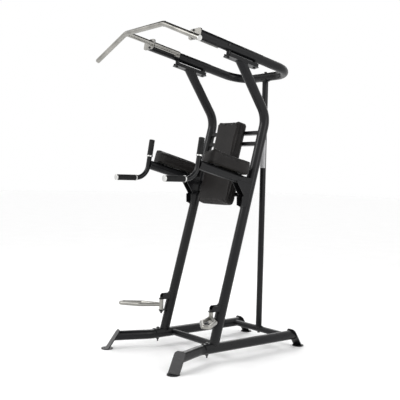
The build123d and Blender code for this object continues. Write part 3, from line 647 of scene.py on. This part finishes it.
class PadSpace:
    """A pad's own directions and size, read from its CAD node: across, along and out.
    The vinyl is turned over the board's edge, so its back lies that much lower."""

    def __init__(self, node, along, out, corner, drop=0.0, low_side=1):
        self.along, self.out, self.across = along, out, Vector((1, 0, 0))
        points = np.array([tuple(v.co) for v in nodes[node].data.vertices])
        spans = [points @ np.array(axis) for axis in (self.across, along, out)]
        self.low = [float(s.min()) for s in spans]
        self.high = [float(s.max()) for s in spans]
        self.low[2] -= turn_over
        self.corner, self.drop, self.low_side = corner, drop, low_side

    def top(self, a):
        """Height of the pad's front face, which may slope across its width."""
        middle = (self.low[0] + self.high[0]) / 2
        share = 0.5 + self.low_side * (a - middle) / (self.high[0] - self.low[0])
        return self.high[2] - self.drop * share

    def point(self, a, b, c):
        return self.across * a + self.along * b + self.out * c

    def outline(self, inset, step=0.004):
        """Points (a, b) and outward directions round the pad, inset from its edge."""
        radius = self.corner - inset if self.corner > inset + 0.003 else 0.003
        half = [(self.high[k] - self.low[k]) / 2 - inset - radius for k in (0, 1)]
        centre = [(self.high[k] + self.low[k]) / 2 for k in (0, 1)]
        found = []
        for quarter in range(4):
            turn = Matrix.Rotation(quarter * pi / 2, 2)
            long, short = (half[1], half[0]) if quarter % 2 == 0 else (half[0], half[1])
            for k in range(ceil(2 * long / step)):
                found.append((turn @ Vector((short + radius, -long + k * step)), turn @ Vector((1, 0))))
            bends = max(4, ceil(radius * pi / 2 / step))
            for k in range(bends):
                out = Vector((cos(k / bends * pi / 2), sin(k / bends * pi / 2)))
                found.append((turn @ (Vector((short, long)) + out * radius), turn @ out))
        return [(p.x + centre[0], p.y + centre[1], d) for p, d in found]


def pad_blank(space):
    """The foam block before it is covered: the pad's outline between its back and front faces."""
    outline = space.outline(-cover)
    count = len(outline)
    levels = (0.0, 0.5, 1.0)
    points = []
    for level in levels:
        for a, b, outward in outline:
            rise = space.low[2] + back_lift
            rise += level * (space.top(a) + cover - space.low[2] - back_lift)
            points.append(space.point(a, b, rise))
    faces = [tuple(reversed(range(count))), tuple(range(2 * count, 3 * count))]
    for level in range(2):
        for k in range(count):
            nxt = (k + 1) % count
            below, above = level * count, (level + 1) * count
            faces.append((below + k, below + nxt, above + nxt, above + k))
    return points, faces


def positions(mesh):
    flat = np.zeros(len(mesh.vertices) * 3)
    mesh.vertices.foreach_get("co", flat)
    return flat.reshape(-1, 3)


def set_positions(mesh, points):
    mesh.vertices.foreach_set("co", np.asarray(points, dtype=np.float32).ravel())
    mesh.update()


def settle(piece):
    """The piece's mesh with its modifiers applied."""
    ready = piece.evaluated_get(bpy.context.evaluated_depsgraph_get())
    mesh = bpy.data.meshes.new_from_object(ready)
    piece.modifiers.clear()
    piece.data = mesh
    return mesh


def stuff(piece, space):
    """Lets the foam push the vinyl out from a back that stays flat on its board."""
    start = positions(piece.data)
    depth = start @ np.array(space.out) - space.low[2]
    flat_back = piece.vertex_groups.new(name="flat_back")
    for index in np.nonzero(depth < voxel)[0]:
        flat_back.add([int(index)], 1.0, "REPLACE")
    cloth = piece.modifiers.new("vinyl_cover", "CLOTH")
    cloth.settings.quality = 6
    cloth.settings.mass = 0.35
    cloth.settings.tension_stiffness = 22
    cloth.settings.compression_stiffness = 22
    cloth.settings.shear_stiffness = 8
    cloth.settings.bending_stiffness = 1.5
    cloth.settings.use_pressure = True
    cloth.settings.uniform_pressure_force = 4
    cloth.settings.vertex_group_mass = "flat_back"
    cloth.settings.effector_weights.gravity = 0
    scene = bpy.context.scene
    for step in range(1, 21):
        scene.frame_set(step)
    ready = piece.evaluated_get(bpy.context.evaluated_depsgraph_get())
    moved = positions(ready.data)
    piece.modifiers.clear()
    scene.frame_set(1)
    shift = moved - start
    length = np.linalg.norm(shift, axis=1)[:, None]
    set_positions(piece.data, start + shift * np.minimum(1, most_swell / np.maximum(length, 1e-9)))


def on_pad(surface, start, direction):
    hit = surface.ray_cast(start, direction, 0.12)
    return None if hit[0] is None else (hit[0], hit[1])


def welt_line(space, surface, below):
    """The seam between the front panel and the side band, a little below the front face."""
    line = []
    for a, b, outward in space.outline(0.0, 0.003):
        away = space.across * outward.x + space.along * outward.y
        hit = on_pad(surface, space.point(a, b, space.top(a) - below) + away * 0.03, -away)
        if hit:
            line.append(hit[0])
    return line


def stitch_line(space, surface, inset):
    """The topstitching's line on the front panel, with the panel's direction at each point."""
    line = []
    for a, b, outward in space.outline(inset, 0.003):
        hit = on_pad(surface, space.point(a, b, space.top(a) + 0.04), -space.out)
        if hit:
            line.append(hit)
    return line


def stitches(line):
    """Short threads along a line, each dipping into the panel at its two ends."""
    steps = even_steps([p for p, normal in line], stitch_step)
    tree = KDTree(len(line))
    for k, (p, normal) in enumerate(line):
        tree.insert(p, k)
    tree.balance()
    pitch, length = round(stitch_pitch / stitch_step), round(stitch_length / stitch_step)
    threads = []
    for first in range(0, len(steps) - pitch, pitch):
        run = steps[first:first + length + 1].copy()
        normal = np.array(line[tree.find(run[0])[1]][1])
        bow = np.sin(np.linspace(0, pi, len(run)))
        run += np.outer(0.0009 * bow - 0.0003, normal)
        threads.append(tube_along(run, 0.00045 * (0.75 + 0.25 * bow), 6, closed=False))
    return threads


def make_pad(node, space, below, inset):
    """A cushion over its board: welt at a depth below the front, stitches at an inset."""
    blank = new_piece(f"{node}_cushion", [pad_blank(space)], vinyl)
    remesh = blank.modifiers.new("even_mesh", "REMESH")
    remesh.mode = "VOXEL"
    remesh.voxel_size = voxel
    settle(blank)
    stuff(blank, space)
    rounder = blank.modifiers.new("rounder", "SUBSURF")
    rounder.levels = 1
    rounder.render_levels = 1
    mesh = settle(blank)
    mesh.shade_smooth()
    surface = BVHTree.FromPolygons([v.co for v in mesh.vertices], [p.vertices for p in mesh.polygons])
    welt = even_steps(welt_line(space, surface, below), 0.0025)
    sewn = stitch_line(space, surface, inset)

    # The seam draws the panel in beside the welt and along the topstitching
    points = positions(mesh)
    normals = np.array([tuple(v.normal) for v in mesh.vertices])
    drawn_in = (
        (welt, welt_dip, welt_dip_width),
        ([p for p, normal in sewn], stitch_dip, stitch_dip_width),
    )
    for line, depth, width in drawn_in:
        tree = KDTree(len(line))
        for k, p in enumerate(line):
            tree.insert(Vector(p), k)
        tree.balance()
        gap = np.array([tree.find(Vector(p))[2] for p in points])
        points -= normals * (depth * np.exp(-(gap / width) ** 2))[:, None]
    set_positions(mesh, points)
    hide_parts(node)

    surface = BVHTree.FromPolygons([v.co for v in mesh.vertices], [p.vertices for p in mesh.polygons])
    welt = even_steps(welt_line(space, surface, below), 0.002)
    cord = tube_along(welt, np.full(len(welt), welt_radius), 10)
    new_piece(f"{node}_welt", [cord], vinyl)
    sewn = stitches(stitch_line(space, surface, inset))
    new_piece(f"{node}_topstitching", sewn, thread)


back_corner = 0.028
arm_corner = 0.014
arm_pad_drop = 0.022      # the arm pads are this much lower on the side next to the body
back_seams = (0.011, 0.013)     # welt below the front face, topstitching in from the edge
arm_seams = (0.008, 0.010)
for name in ("upper", "lower"):
    space = PadSpace(f"{name}_back_pad", up_the_upright, ahead_of_upright, back_corner)
    make_pad(f"{name}_back_pad", space, *back_seams)
for side, sign in sides:
    space = PadSpace(f"{side}_arm_pad", ahead_on_arm, square_to_arm, arm_corner, arm_pad_drop, -sign)
    make_pad(f"{side}_arm_pad", space, *arm_seams)


# Steps: a chromed loop and hub that swing on an upright pin between the two ears of a bracket
# welded to the front of each upright.
dress([s + "step_bracket" for s in both], powder_coat)
step_saddle_low = 0.050
step_saddle_high = 0.075
for side, sign in sides:
    foot = foot_of(side)
    hub_height = middle_of(f"{side}_step").z
    middle_along = (hub_height - foot.z) / up_the_upright.z
    welds = [
        weld_bead(round_the_upright(side, middle_along + shift, radians(84)), closed=False)
        for shift in (-step_saddle_low, step_saddle_high)
    ]
    new_piece(f"{side}_step_bracket_welds", welds, powder_coat)


# Fasteners: hexagon bolts, nuts and screws in blackened steel, dull and slightly oily.
black_oxide = new_finish("black_oxide", {"Metallic": 0.75, "IOR": 1.6})
where = place_in(black_oxide)
rounded = soft_edges(black_oxide, 0.0008)
oil = noise(black_oxide, where, 120.0, 4.0)
drive(black_oxide, "Base Color", tint(
    black_oxide, spread(black_oxide, oil, 0.0, 1.0), (0.022, 0.022, 0.024), (0.060, 0.058, 0.056)
))
drive(black_oxide, "Roughness", spread(black_oxide, oil, 0.28, 0.46))
drive(black_oxide, "Normal", relief(black_oxide, noise(black_oxide, where, 1500.0), 0.0001, 0.4, rounded))
dress(
    ["arm_pad_screws", "back_pad_screws", "flange_bolts", "left_step_pin", "right_step_pin",
     "lug_bolts", "post_bolts", "rail_bolts", "top_plate_bolts"],
    black_oxide,
)


# Label: a blank plate of light grey film, curved round the front of the post.
label_film = new_finish("label_film", {"Coat Weight": 0.2, "Coat Roughness": 0.2})
where = place_in(label_film)
drive(label_film, "Base Color", tint(
    label_film, spread(label_film, noise(label_film, where, 300.0, 4.0), 0.0, 1.0),
    (0.36, 0.36, 0.37), (0.43, 0.43, 0.435),
))
drive(label_film, "Roughness", spread(label_film, noise(label_film, where, 25.0, 3.0), 0.34, 0.46))
drive(label_film, "Normal", relief(label_film, noise(label_film, where, 900.0), 0.0001, 0.3))
dress(["post_label"], label_film)


# Studio: a pale matt floor, a white room, two large soft lights and one behind, and a card of
# dark felt overhead that shades the tops of the tubes.
floor_paint = new_finish("pale_floor", {"Specular IOR Level": 0.2})
where = place_in(floor_paint)
drive(floor_paint, "Base Color", tint(
    floor_paint, spread(floor_paint, noise(floor_paint, where, 2.0, 6.0), 0.0, 1.0),
    (0.97, 0.97, 0.97), (0.99, 0.99, 0.99),
))
drive(floor_paint, "Roughness", spread(floor_paint, noise(floor_paint, where, 40.0, 4.0), 0.65, 0.85))
machine_middle = (cad_low + cad_high) / 2
floor_half = 40.0
floor_gap = 0.0005


def studio_sheet(name, half, spot, finish):
    """A flat square of the studio, which is not part of the machine."""
    corners = [(-half, -half, 0), (half, -half, 0), (half, half, 0), (-half, half, 0)]
    mesh = bpy.data.meshes.new(name)
    mesh.from_pydata(corners, [], [(0, 1, 2, 3)])
    mesh.materials.append(finish)
    sheet = bpy.data.objects.new(name, mesh)
    bpy.context.scene.collection.objects.link(sheet)
    sheet.location = spot


studio_sheet("studio_floor", floor_half, (0, 0, cad_low.z - floor_gap), floor_paint)

room = bpy.data.worlds.new("white_room")
room.use_nodes = True
room.node_tree.nodes["Background"].inputs["Color"].default_value = (1, 1, 1, 1)
room.node_tree.nodes["Background"].inputs["Strength"].default_value = 1.0
bpy.context.scene.world = room

felt = new_finish("dark_felt", {"Roughness": 0.95, "Specular IOR Level": 0.1})
nap = noise(felt, place_in(felt), 60.0, 6.0)
drive(felt, "Base Color", tint(
    felt, spread(felt, nap, 0.0, 1.0), (0.015, 0.015, 0.015), (0.035, 0.034, 0.032)
))
card_half = 1.3
card_height = 2.95
studio_sheet("overhead_card", card_half, (machine_middle.x, machine_middle.y, card_height), felt)

for name, spot, power, width in (
    ("key_light", (-1.2, -3.4, 3.6), 70, 2.4),
    ("fill_light", (3.6, 0.4, 2.6), 35, 2.4),
    ("rim_light", (-2.6, 2.6, 2.8), 35, 2.0),
):
    lamp = bpy.data.lights.new(name, "AREA")
    lamp.shape = "DISK"
    lamp.size = width
    lamp.energy = power
    light = bpy.data.objects.new(name, lamp)
    light.location = spot
    light.rotation_euler = (machine_middle - Vector(spot)).to_track_quat("-Z", "Y").to_euler()
    bpy.context.scene.collection.objects.link(light)


# Camera: a long lens at chest height, off the machine's front corner.
camera_spot = Vector((3.60286, -2.98113, 1.15593))
turn, tip, roll = radians(51.487), radians(1.847), radians(1.4095)
ahead = Vector((-sin(turn) * cos(tip), cos(turn) * cos(tip), -sin(tip)))
level_right = Vector((cos(turn), sin(turn), 0))
level_up = level_right.cross(ahead)
right = level_right * cos(roll) + level_up * sin(roll)
up = level_up * cos(roll) - level_right * sin(roll)
lens = bpy.data.cameras.new("camera")
lens.sensor_width = 36.0
lens.lens = 62.56
camera = bpy.data.objects.new("camera", lens)
camera.matrix_world = Matrix.Translation(camera_spot) @ Matrix((right, up, -ahead)).transposed().to_4x4()
bpy.context.scene.collection.objects.link(camera)
bpy.context.scene.camera = camera
bpy.context.scene.view_settings.view_transform = "Standard"
